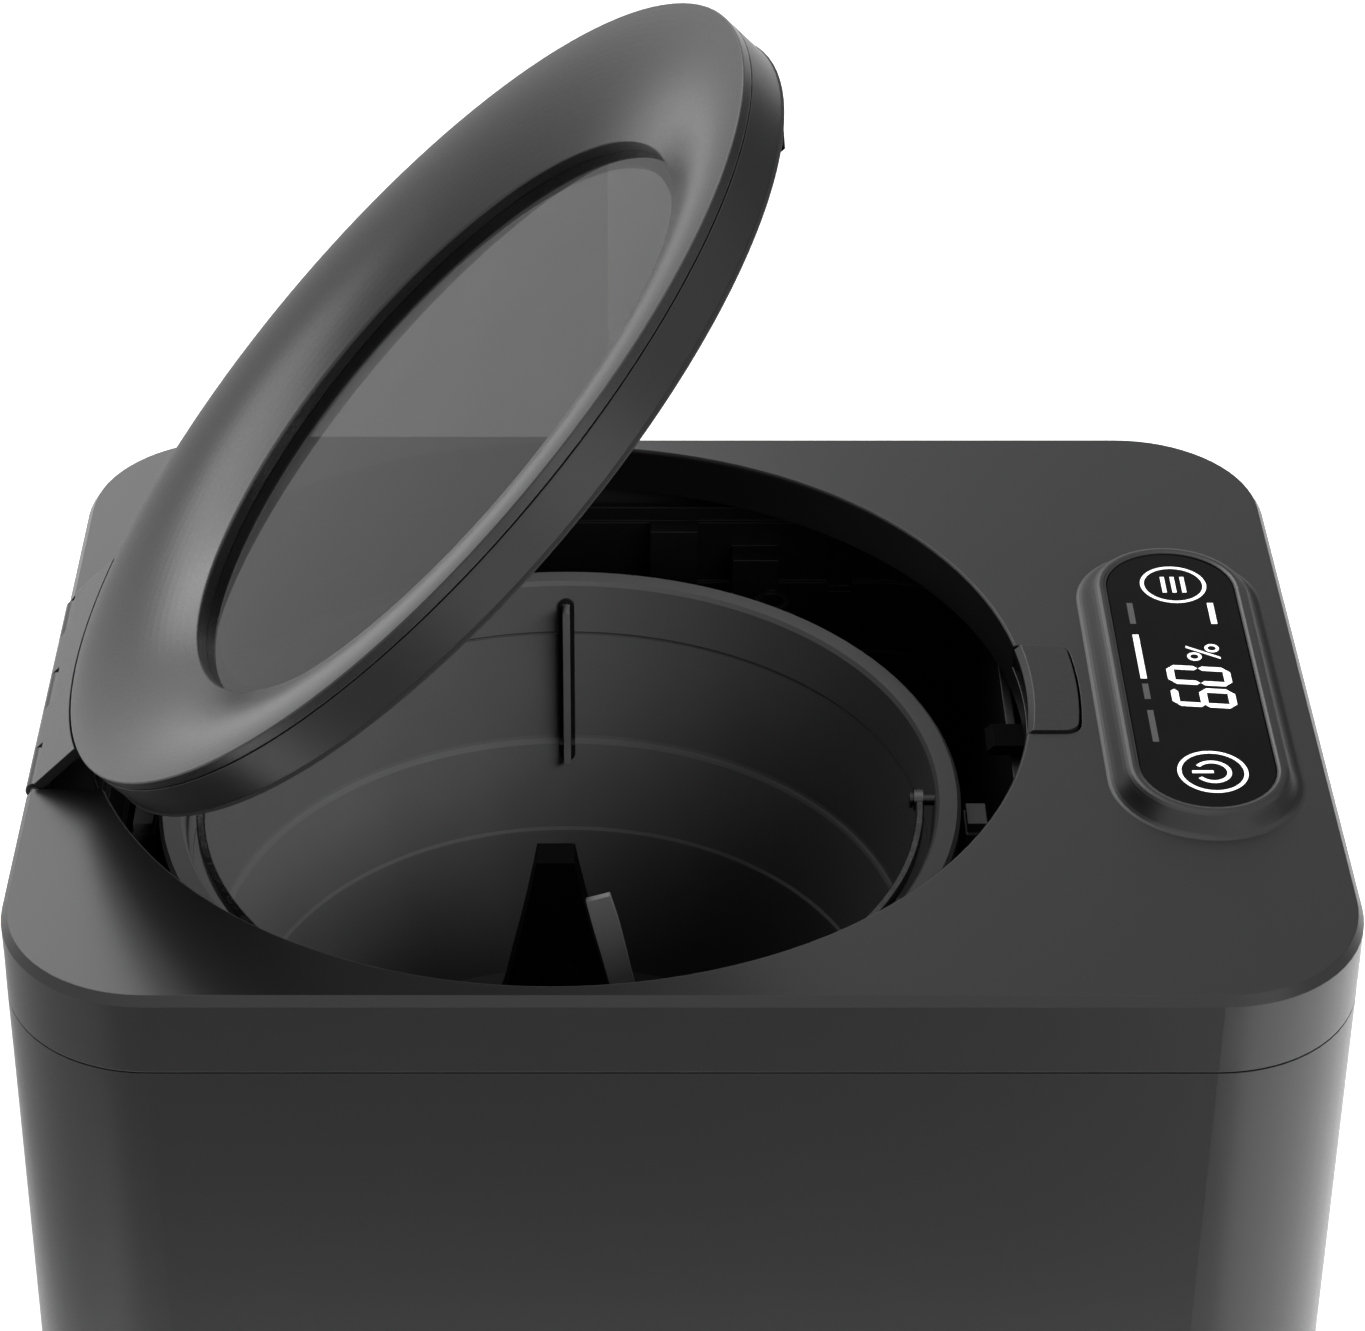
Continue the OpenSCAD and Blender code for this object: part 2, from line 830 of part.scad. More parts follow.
module latch_spring() {
    color("silver")
        translate([0, -104, deck_height - 13.4])
            rotate([90, 0, 0])
                coil(3, 0.35, 14, 6);
}

module latch_bracket() {
    z = deck_height;
    color("black") {
        box(-20, 20, -120, -93.5, z - 20.5, z - 18.1);
        box(-12, 12, -120, -118, z - 18.6, z - 9);
        for (s = [-1, 1])
            box(s > 0 ? 7.3 : -9.3, s > 0 ? 9.3 : -7.3, -120, -94.5, z - 18.6, z - 12.8);
        for (x = [-17, 17])
            translate([x, -112, z - 19])
                cylinder(r = 3, h = 16, $fn = 32);
    }
}

// Bucket and stirrer

// Inner wall from the seat up to the straight upper part, with a soft ledge at each step
wall_steps = [
    [seat_radius, seat_z], [seat_radius + 0.1, seat_z + 0.7], [seat_radius + 0.9, seat_z + 1.4],
    [belly_radius - 1.2, belly_z - 0.6], [belly_radius - 0.7, belly_z + 0.1],
    [belly_radius - 0.1, belly_z + 0.7], [belly_radius + 0.2, belly_z + 1.6]
];
mouth_edge = [mouth_radius, rim_z - 1.2];

module bucket_profile() {
    w = bucket_wall;
    zf = bucket_z;
    // The fill line is a fine groove in the straight upper part
    fill_z = deck_height - 48.5;
    top_step = wall_steps[len(wall_steps) - 1];
    fill_r = top_step[0] + (mouth_edge[0] - top_step[0]) * (fill_z - top_step[1]) / (mouth_edge[1] - top_step[1]);
    polygon(concat(
        [[9.05, zf + 20], [17.5, zf + 20], [19.5, zf + 18.5], [23, zf + 3], [26, zf], [78, zf],
         [82.5, zf + 1.6], [85, zf + 6]],
        wall_steps,
        [[fill_r - 0.04, fill_z - 0.4], [fill_r + 0.2, fill_z], [fill_r + 0.04, fill_z + 0.4]],
        [mouth_edge],
        [[mouth_radius + 0.8, rim_z],
         [rim_radius - 1, rim_z], [rim_radius, rim_z - 1], [rim_radius, rim_z - 4.5],
         [rim_radius - 1.3, rim_z - 4.5], [rim_radius - 1.3, rim_z - w], [mouth_radius + w, rim_z - w],
         [belly_radius + 0.2 + w, belly_z + 1.2], [belly_radius - 1.2 + w, belly_z - 1],
         [seat_radius + 0.9 + w, seat_z + 1], [seat_radius + w, seat_z - 0.4],
         [85 + w, zf + 5.4], [83.2, zf - 0.2], [78.6, zf - w], [24.4, zf - w], [21.6, zf + 1.6],
         [18.2, zf + 18.4], [9.05, zf + 18.4]]
    ));
}

module bucket() {
    color("#48484a")
        at_bucket()
            difference() {
                rotate_extrude($fn = 256)
                    bucket_profile();
                translate([0, 0, bail_z])
                    rotate([90, 0, 0])
                        cylinder(r = 1.65, h = 240, center = true, $fn = 24);
            }
}

module breaker_fin() {
    fin_half = 1;
    pad_half = 2.3;
    pad_thickness = 0.7;
    gap = 0.05;
    zt = deck_height - 37.2;
    zb = deck_height - 89.5;
    rib_top = zt - 1.6;
    line = concat(wall_steps, [mouth_edge]);
    color("#3c3c3e")
        at_bucket() {
            // Rib
            difference() {
                intersection() {
                    rotate_extrude($fn = 256)
                        polygon(concat(
                            [[80, seat_z]], [for (p = line) [p[0] - gap, p[1]]], [[80, rim_z - 1.2]]
                        ));
                    union() {
                        box(85, 110, -fin_half, fin_half, zb + 0.8, rib_top - fin_half);
                        translate([85, 0, rib_top - fin_half])
                            rotate([0, 90, 0])
                                cylinder(r = fin_half, h = 25, $fn = 32);
                    }
                }
                rotate([90, 0, 0])
                    linear_extrude(10, center = true)
                        polygon([
                            [80, zb - 1], [88.2, zb - 1], [90.2, belly_z], [94.6, zt + 1], [80, zt + 1]
                        ]);
            }
            // Pad that hugs the wall
            intersection() {
                rotate_extrude($fn = 256)
                    polygon(concat(
                        [for (p = line) [p[0] - gap, p[1]]],
                        [for (i = [len(line) - 1:-1:0]) [line[i][0] - gap - pad_thickness, line[i][1]]]
                    ));
                union() {
                    box(85, 110, -pad_half, pad_half, zb + pad_half, zt - pad_half);
                    for (z = [zb + pad_half, zt - pad_half])
                        translate([85, 0, z])
                            rotate([0, 90, 0])
                                cylinder(r = pad_half, h = 25, $fn = 32);
                }
            }
        }
}

module bail_pivots() {
    color("silver")
        for (s = [-1, 1])
            translate([0, opening_y, bail_z])
                rotate([90 * s, 0, 0]) {
                    translate([0, 0, 93.4])
                        cylinder(r = 1.6, h = 9.6, $fn = 24);
                    translate([0, 0, 93.1])
                        cylinder(r = 2.3, h = 0.8, $fn = 32);
                    translate([0, 0, 101.7])
                        cylinder(r = 2.3, h = 1.4, $fn = 32);
                }
}

module bail_handle() {
    color("silver")
        translate([0, opening_y, bail_z])
            difference() {
                union() {
                    rotate([0, 0, 91.4])
                        rotate_extrude(angle = 177.2, $fn = 256)
                            polygon([[94.6, -1.2], [95, -1.6], [96.4, -1.6], [96.8, -1.2], [96.8, 1.2], [96.4, 1.6], [95, 1.6], [94.6, 1.2]]);
                    for (s = [-1, 1])
                        rotate([90 * s, 0, 0])
                            translate([0, 0, 94.2])
                                cylinder(r = 3.1, h = 2.4, $fn = 32);
                }
                rotate([90, 0, 0])
                    cylinder(r = 1.65, h = 240, center = true, $fn = 24);
            }
}

module shaft_bush() {
    color("goldenrod")
        at_bucket() {
            ring(6.05, 9, bucket_z + 15, bucket_z + 20);
            ring(6.05, 14, bucket_z + 20, bucket_z + 21.4);
        }
}

module shaft_seal() {
    color("black")
        at_bucket()
            ring(9.1, 13, bucket_z + 16.4, bucket_z + 18.4);
}

arm_thickness = 2;
arm_half_width = 3.7;
high_arm = [[9.5, 276], [19, 246], [14, 190], [79, 190]];
low_arm = [[10, 234], [18, 214], [30, 194], [79, 190]];

function arm_side(path, t, w) =
    let (d = bezier(path, t + 0.01) - bezier(path, t - 0.01), n = norm(d))
    bezier(path, t) + [-d[1], d[0]] * w / n;

// One curved arm in the plane through the axis, with a margin for its slot
module stirrer_arm(path, margin) {
    steps = 12;
    rotate([90, 0, -90])
        linear_extrude(arm_thickness + 2 * margin, center = true)
            polygon(concat(
                [for (i = [0:steps]) arm_side(path, i / steps, arm_half_width + margin)],
                [for (i = [steps:-1:0]) arm_side(path, i / steps, -arm_half_width - margin)]
            ));
}

module stirrer_hub() {
    zf = bucket_z;
    // The plate sits a little to the side of the axis that the low arm leaves from
    lean = 1.5;
    flank = [
        [5.1, deck_height - 54], [6, deck_height - 59], [7.8, deck_height - 68.5],
        [10, deck_height - 79], [12.2, deck_height - 88.5], [14.2, deck_height - 98],
        [18.5, deck_height - 113], [22, zf + 38], [24, zf + 22]
    ];
    color("#0c0c0d")
        at_bucket()
            difference() {
                union() {
                    rotate([90, 0, 90])
                        linear_extrude(9, center = true)
                            polygon(concat(
                                [for (p = flank) [lean + p[0], p[1]]],
                                [for (i = [len(flank) - 1:-1:0]) [lean - flank[i][0], flank[i][1]]]
                            ));
                    rotate_extrude()
                        polygon([
                            [0, zf + 22], [25, zf + 22], [26, zf + 24], [23, zf + 36],
                            [16, zf + 54], [9, zf + 70], [4.4, zf + 82], [0, zf + 82]
                        ]);
                }
                translate([0, 0, zf + 20])
                    cylinder(r = 6.02, h = 41.2);
                stirrer_arm(high_arm, 0.05);
                rotate([0, 0, 180])
                    stirrer_arm(low_arm, 0.05);
            }
}

module stirrer_arms() {
    color("#707072")
        at_bucket()
            difference() {
                union() {
                    stirrer_arm(high_arm, 0);
                    rotate([0, 0, 180])
                        stirrer_arm(low_arm, 0);
                }
                cylinder(r = 6.4, h = 400);
            }
}

module stirrer_shaft() {
    color("silver")
        at_bucket()
            translate([0, 0, bucket_z + 10.7])
                cylinder(r = 6, h = 50);
}

module drive_socket() {
    color("black")
        at_bucket()
            difference() {
                translate([0, 0, bucket_z + 1.6])
                    cylinder(r = 13.5, h = 12.6);
                translate([0, 0, bucket_z])
                    cylinder(r = 9.5, h = 10.6, $fn = 6);
                translate([0, 0, bucket_z])
                    cylinder(r = 6.02, h = 20);
            }
}

// Heater

module heater_pot() {
    color("lightgray")
        at_bucket()
            rotate_extrude($fn = 192)
                polygon([
                    [17, pot_floor_z], [87.5, pot_floor_z], [92.2, pot_floor_z + 6], [92.2, chamber_z + 3],
                    [99, chamber_z + 3], [99, chamber_z + 5.4], [89.4, chamber_z + 5.4],
                    [89.4, pot_floor_z + 9], [85, pot_floor_z + 3.4], [17, pot_floor_z + 3.4]
                ]);
}

module heating_element() {
    color("dimgray")
        at_bucket() {
            translate([0, 0, pot_floor_z - 3.5])
                rotate_extrude()
                    translate([60, 0])
                        circle(r = 3.5, $fn = 32);
            for (a = [-8, 8])
                rotate([0, 0, a])
                    translate([60, 0, pot_floor_z - 16])
                        cylinder(r = 2, h = 12, $fn = 24);
        }
}

module thermostat() {
    color("silver")
        translate([-28, opening_y + 26, pot_floor_z - 6])
            cylinder(r = 8, h = 6);
}

// Gearbox and motor

function gearbox_ears() = [[44, 9], [-44, 9], [0, -82.5], [0, 75.5]];

// Points of one involute gear tooth flank from its root to its tip
function involute_angle(r, base) = r <= base ? 0 : sqrt(pow(r / base, 2) - 1) * 180 / PI - acos(base / r);

function gear_points(teeth, backlash) =
    let (
        pitch = gear_module * teeth / 2,
        base = pitch * cos(20),
        tip = pitch + gear_module * 0.98,
        root = pitch - gear_module * 1.25,
        half = 90 / teeth - backlash / pitch * 180 / PI / 2 + involute_angle(pitch, base),
        radii = [root, max(base, root), pitch - 0.3, pitch + 0.35, tip]
    )
    [
        for (i = [0:teeth - 1])
            for (k = [0:9])
                let (
                    r = radii[k < 5 ? k : 9 - k],
                    a = half - involute_angle(r, base),
                    turn = 360 * i / teeth + (k < 5 ? -a : a)
                )
                [r * cos(turn), r * sin(turn)]
    ];

// A gear whose first tooth points along the given angle
module gear(teeth, z0, z1, angle) {
    translate([0, 0, z0])
        rotate([0, 0, angle])
            linear_extrude(z1 - z0)
                polygon(gear_points(teeth, 0.16));
}

module gearbox_outline(inset) {
    for (y = [opening_y, idler_y])
        translate([0, y])
            circle(r = 41 - inset);
    translate([0, motor_y])
        circle(r = 20 - inset);
    translate([-41 + inset, idler_y])
        square([82 - 2 * inset, centre_distance]);
    translate([-20 + inset, motor_y])
        square([40 - 2 * inset, centre_distance]);
}

module gearbox_housing() {
    color("#55555a")
        difference() {
            union() {
                difference() {
                    union() {
                        translate([0, 0, gearbox_z])
                            linear_extrude(46)
                                gearbox_outline(0);
                        for (p = gearbox_ears())
                            translate([p[0], p[1], gearbox_z + 26])
                                cylinder(r = 5, h = 20);
                    }
                    translate([0, 0, gearbox_z + 3])
                        linear_extrude(60)
                            gearbox_outline(2.5);
                }
                at_bucket()
                    translate([0, 0, gearbox_z])
                        cylinder(r = 12, h = 11);
                translate([0, idler_y, gearbox_z])
                    cylinder(r = 7, h = 14.5);
            }
            at_bucket()
                translate([0, 0, gearbox_z + 3])
                    cylinder(r = 9.05, h = 20);
            translate([0, idler_y, gearbox_z + 2])
                cylinder(r = 4.02, h = 20);
            translate([0, motor_y, gearbox_z - 1])
                cylinder(r = 6, h = 10);
            for (p = gearbox_ears())
                translate([p[0], p[1], gearbox_z + 30])
                    cylinder(r = 1.6, h = 30, $fn = 24);
        }
}

module gearbox_cover() {
    color("#55555a")
        difference() {
            union() {
                translate([0, 0, gearbox_z + 46])
                    linear_extrude(3)
                        union() {
                            gearbox_outline(0);
                            for (p = gearbox_ears())
                                translate(p)
                                    circle(r = 5);
                        }
                at_bucket()
                    translate([0, 0, gearbox_z + 47])
                        cylinder(r = 12, h = 9);
            }
            at_bucket()
                translate([0, 0, gearbox_z + 40])
                    cylinder(r = 9.05, h = 30);
            for (p = gearbox_ears())
                translate([p[0], p[1], gearbox_z + 40])
                    cylinder(r = 1.8, h = 30, $fn = 24);
        }
}

module output_bushes() {
    color("goldenrod")
        at_bucket() {
            ring(output_radius + 0.05, 9, gearbox_z + 3, gearbox_z + 11);
            ring(output_radius + 0.05, 9, gearbox_z + 46, gearbox_z + 56);
        }
}

module output_shaft() {
    color("silver")
        at_bucket()
            translate([0, 0, gearbox_z + 3.2])
                cylinder(r = output_radius, h = bucket_z + 3 - gearbox_z - 3.2);
}

module output_gear() {
    color("gray")
        at_bucket()
            difference() {
                union() {
                    gear(wheel_teeth, gearbox_z + 16, gearbox_z + 26, -90);
                    translate([0, 0, gearbox_z + 11.4])
                        cylinder(r = 7.4, h = 34);
                }
                translate([0, 0, gearbox_z])
                    cylinder(r = output_radius + 0.02, h = 60);
                for (a = [0:60:300])
                    rotate([0, 0, a])
                        translate([22, 0, gearbox_z])
                            cylinder(r = 7, h = 60, $fn = 32);
            }
}

module drive_dog() {
    color("black")
        at_bucket()
            difference() {
                union() {
                    translate([0, 0, bucket_z - 12])
                        cylinder(r = 9.24, h = 21.5, $fn = 6);
                    translate([0, 0, gearbox_z + 56.4])
                        cylinder(r = 12, h = bucket_z - 12 - gearbox_z - 56);
                }
                translate([0, 0, gearbox_z])
                    cylinder(r = output_radius + 0.02, h = bucket_z + 3.2 - gearbox_z);
            }
}

module idler_axle() {
    color("silver")
        translate([0, idler_y, gearbox_z + 2])
            cylinder(r = 4, h = 44);
}

module idler_gear() {
    color("gray")
        translate([0, idler_y, 0])
            difference() {
                union() {
                    gear(pinion_teeth, gearbox_z + 15, gearbox_z + 30, 90 + 180 / pinion_teeth);
                    gear(wheel_teeth, gearbox_z + 29, gearbox_z + 39, -90);
                }
                translate([0, 0, gearbox_z])
                    cylinder(r = 4.05, h = 60);
                for (a = [0:60:300])
                    rotate([0, 0, a])
                        translate([22, 0, gearbox_z])
                            cylinder(r = 7, h = 60, $fn = 32);
            }
}

module motor_can() {
    color("silver")
        translate([0, motor_y, 0])
            difference() {
                union() {
                    translate([0, 0, 40])
                        cylinder(r = 26, h = gearbox_z - 40 - 3);
                    translate([0, 0, gearbox_z - 4])
                        cylinder(r = 14, h = 4);
                    translate([0, 0, 36])
                        cylinder(r = 9, h = 5);
                }
                translate([0, 0, 43])
                    cylinder(r = 24, h = gearbox_z - 49);
                translate([0, 0, 37])
                    cylinder(r = 2.55, h = 80);
            }
}

module motor_rotor() {
    color("#b87333")
        translate([0, motor_y, 0]) {
            translate([0, 0, 37.5])
                cylinder(r = 2.5, h = gearbox_z + 41 - 37.5);
            translate([0, 0, 50])
                cylinder(r = 20, h = 34);
            translate([0, 0, 84])
                cylinder(r = 8, h = 7);
        }
}

module motor_pinion() {
    color("goldenrod")
        translate([0, motor_y, 0])
            difference() {
                gear(pinion_teeth, gearbox_z + 28, gearbox_z + 40, 90 + 180 / pinion_teeth);
                translate([0, 0, gearbox_z])
                    cylinder(r = 2.52, h = 60, $fn = 32);
            }
}

// Fan, duct and filter

module air_duct() {
    color("#2c2c2e")
        translate([fan_x, fan_y, 0]) {
            difference() {
                rounded_plate(-fan_size / 2, -fan_size / 2, fan_size / 2, fan_size / 2, 5, fan_z, fan_z + fan_height);
                translate([0, 0, fan_z + 2])
                    cylinder(r = 28, h = 30);
                difference() {
                    translate([0, 0, fan_z - 1])
                        cylinder(r = 26, h = 10);
                    translate([0, 0, fan_z - 1])
                        cylinder(r = 11, h = 10);
                    for (a = [45:90:315])
                        rotate([0, 0, a])
                            box(0, 40, -1.5, 1.5, fan_z - 2, fan_z + 3);
                }
                translate([0, 0, fan_z + 0.5])
                    cylinder(r = 1.55, h = 10, $fn = 24);
            }
            ring(20, 22, fan_z + fan_height + 2, chamber_z);
            difference() {
                rounded_plate(-fan_size / 2, -fan_size / 2, fan_size / 2, fan_size / 2, 5,
                    fan_z + fan_height, fan_z + fan_height + 2.5);
                translate([0, 0, fan_z])
                    cylinder(r = 20, h = 40);
            }
        }
}

module fan_impeller() {
    color("black")
        translate([fan_x, fan_y, 0]) {
            translate([0, 0, fan_z + 3])
                cylinder(r = 12, h = 15);
            translate([0, 0, fan_z + 0.8])
                cylinder(r = 1.5, h = 3, $fn = 24);
            intersection() {
                ring(11, 26.8, fan_z + 3, fan_z + 18);
                for (a = [0:360 / 7:359])
                    rotate([0, 0, a])
                        translate([19, 0, fan_z + 10.5])
                            rotate([38, 0, 0])
                                cube([20, 1.6, 20], center = true);
            }
        }
}

module filter_bay() {
    w = bay_wall;
    top = fan_z;
    color("#2c2c2e")
        difference() {
            union() {
                box(bay_x0, bay_x1, bay_y0, 164.8, bay_z0, top);
                box(fan_x - 30, bay_x0 + 1, fan_y - 30, fan_y + 29, top - 36, top);
                for (x = [bay_x0 + 10, bay_x1 - 10], y = [bay_y0 + 10, 150])
                    translate([x, y, shell_z])
                        cylinder(r = 6, h = bay_z0 - shell_z + 1);
            }
            box(bay_x0 + w, bay_x1 - w, bay_y0 + w, 170, bay_z0 + w, top - w);
            box(fan_x - 30 + w, bay_x0 + 3, fan_y - 30 + w, fan_y + 29 - w, top - 36 + w, top - w);
            translate([fan_x, fan_y, top - 5])
                cylinder(r = 26, h = 10);
        }
}

module filter_drawer() {
    x0 = bay_x0 + bay_wall + 0.5;
    x1 = bay_x1 - bay_wall - 0.5;
    z0 = bay_z0 + bay_wall + 0.5;
    z1 = fan_z - bay_wall - 0.5;
    mid = (x0 + x1) / 2;
    color("#3a3a3c")
        difference() {
            union() {
                intersection() {
                    difference() {
                        body_block(shell_z, parting_z, 0);
                        body_block(shell_z - 1, parting_z + 1, shell_wall);
                    }
                    box(x0, x1, 150, 180, z0, z1);
                }
                box(mid - 27, mid + 27, 152, 167.5, z1 - 24, z1 - 3);
                difference() {
                    box(x0 + 1, x1 - 1, 90, 166.8, z0, z1 - 26);
                    box(x0 + 3, x1 - 3, 92, 160, z0 + 2, z1);
                    for (z = [z0 + 10:12:z1 - 40])
                        box(x0 - 5, x0 + 5, 100, 156, z, z + 8);
                }
            }
            box(mid - 25, mid + 25, 154, 180, z1 - 22, z1 - 5);
            for (i = [0:5])
                box(x0 + 14, x1 - 14, 150, 180, z0 + 9 + 9 * i, z0 + 13 + 9 * i);
        }
}

module carbon_cartridge() {
    x0 = bay_x0 + bay_wall + 0.5;
    x1 = bay_x1 - bay_wall - 0.5;
    z0 = bay_z0 + bay_wall + 0.5;
    z1 = fan_z - bay_wall - 0.5;
    color("#111112")
        difference() {
            box(x0 + 3.4, x1 - 3.4, 92.4, 159.6, z0 + 2, z1 - 30);
            for (i = [0:4])
                box(x0 + 11 + 20 * i, x0 + 23 + 20 * i, 98, 154, z1 - 33, z1);
        }
}

// Power inlet

module power_inlet() {
    color("black") {
        difference() {
            union() {
                box(inlet_x - 14, inlet_x + 14, 150, 168.9, inlet_z - 10, inlet_z + 10);
                box(inlet_x - 17, inlet_x + 17, 164, 166, inlet_z - 13, inlet_z + 13);
            }
            box(inlet_x - 12, inlet_x + 12, 153, 180, inlet_z - 8, inlet_z + 8);
            for (p = inlet_pins)
                box(inlet_x + p[0] - 1, inlet_x + p[0] + 1, 140, 166, inlet_z + p[1] - 2, inlet_z + p[1] + 2);
        }
    }
    color("silver")
        for (p = inlet_pins)
            box(inlet_x + p[0] - 1, inlet_x + p[0] + 1, 144, 166, inlet_z + p[1] - 2, inlet_z + p[1] + 2);
}

module main_board() {
    color("darkgreen")
        box(113, 114.6, -66, 66, 30.2, 128);
    color("goldenrod")
        box(95, 113, -20, 16, 62, 92);
    color("black") {
        box(102, 113, 28, 48, 60, 78);
        box(106, 113, -52, -34, 96, 116);
    }
    color("silver")
        for (y = [30, 46])
            translate([0, y, 104])
                along_x(96, 113, 6);
}

top_cover();
body_shell();
base_plate();
rubber_feet();
body_screws();
inner_chamber();
bucket_locators();
chassis_plate();
control_glass();
display_board();
digit_module();
touch_pads();
lid_sensor();
latch_bracket();
hinge_pin();
lid_cover();
lid_pan();
lid_flap();
lid_window();
window_gasket();
window_retainer();
lid_seal();
latch_striker();
lid_magnet();
lid_screws();
release_button();
button_springs();
latch_slide();
latch_spring();
bucket();
breaker_fin();
bail_pivots();
shaft_bush();
shaft_seal();
bail_handle();
stirrer_hub();
stirrer_arms();
stirrer_shaft();
drive_socket();
heater_pot();
heating_element();
thermostat();
gearbox_housing();
gearbox_cover();
output_bushes();
idler_axle();
motor_can();
output_shaft();
output_gear();
drive_dog();
idler_gear();
motor_rotor();
motor_pinion();
air_duct();
fan_impeller();
filter_bay();
filter_drawer();
carbon_cartridge();
power_inlet();
main_board();
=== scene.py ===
import bpy
import bmesh
import json
import math
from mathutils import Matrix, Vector


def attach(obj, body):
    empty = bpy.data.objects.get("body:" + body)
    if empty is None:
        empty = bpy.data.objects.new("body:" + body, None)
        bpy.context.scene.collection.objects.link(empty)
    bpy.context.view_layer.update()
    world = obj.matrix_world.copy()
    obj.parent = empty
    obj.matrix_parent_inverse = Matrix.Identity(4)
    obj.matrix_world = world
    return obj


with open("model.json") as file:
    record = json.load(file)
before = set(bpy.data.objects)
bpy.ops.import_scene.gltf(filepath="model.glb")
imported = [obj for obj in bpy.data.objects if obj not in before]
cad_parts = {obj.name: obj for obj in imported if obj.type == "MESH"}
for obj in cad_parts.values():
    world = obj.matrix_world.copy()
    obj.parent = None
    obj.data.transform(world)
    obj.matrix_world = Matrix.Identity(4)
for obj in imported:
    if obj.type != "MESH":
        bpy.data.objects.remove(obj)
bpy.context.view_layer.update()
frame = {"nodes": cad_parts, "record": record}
nodes = frame["nodes"]
scene = bpy.context.scene

MM = 0.001
DECK = 0.345  # height of the deck
OPEN_Y = 0.0313  # middle of the round opening, and its radius
OPEN_R = 0.1223
# Painted shade on the opening's inner wall stops at these two bounds.
WALL_R = OPEN_R + 0.0006  # the opening's inner wall lies within this and below this
WALL_TOP = DECK - 0.0012
GLASS_Z = DECK + 0.0044  # face of the panel's glass
FILL_LINE_Z = DECK - 0.0485  # fine groove round the bucket's wall, and its half width
FILL_LINE_HALF = 0.00045
RIB_HALF = 0.00102  # the fin's rib on its pad: half width, top and bottom
RIB_TOP = DECK - 0.0388
RIB_BOTTOM = DECK - 0.0887

# Camera, with its direction, distance and focal length fitted to the photograph
PHOTO_W = 1365
FOCAL_PX = 3806.7
CENTRE_PX = 634.47
SENSOR_MM = 36
LOOKS_DOWN = 34.39
EYE = (-0.81848, 0.01158, DECK + 0.5676)
cam_data = bpy.data.cameras.new("photo_camera")
cam_data.sensor_width = SENSOR_MM
cam_data.sensor_fit = "HORIZONTAL"
cam_data.lens = FOCAL_PX / PHOTO_W * SENSOR_MM
cam_data.shift_x = (PHOTO_W / 2 - CENTRE_PX) / PHOTO_W
cam_data.clip_start = 0.05
cam_data.clip_end = 50
cam = bpy.data.objects.new("photo_camera", cam_data)
cam.location = EYE
cam.rotation_euler = (math.radians(90 - LOOKS_DOWN), 0, math.radians(-90))
scene.collection.objects.link(cam)
scene.camera = cam

# Materials


def shares(colour):
    """The three shares of a colour that is given as one grey or as three."""
    return (colour,) * 3 if isinstance(colour, (int, float)) else colour


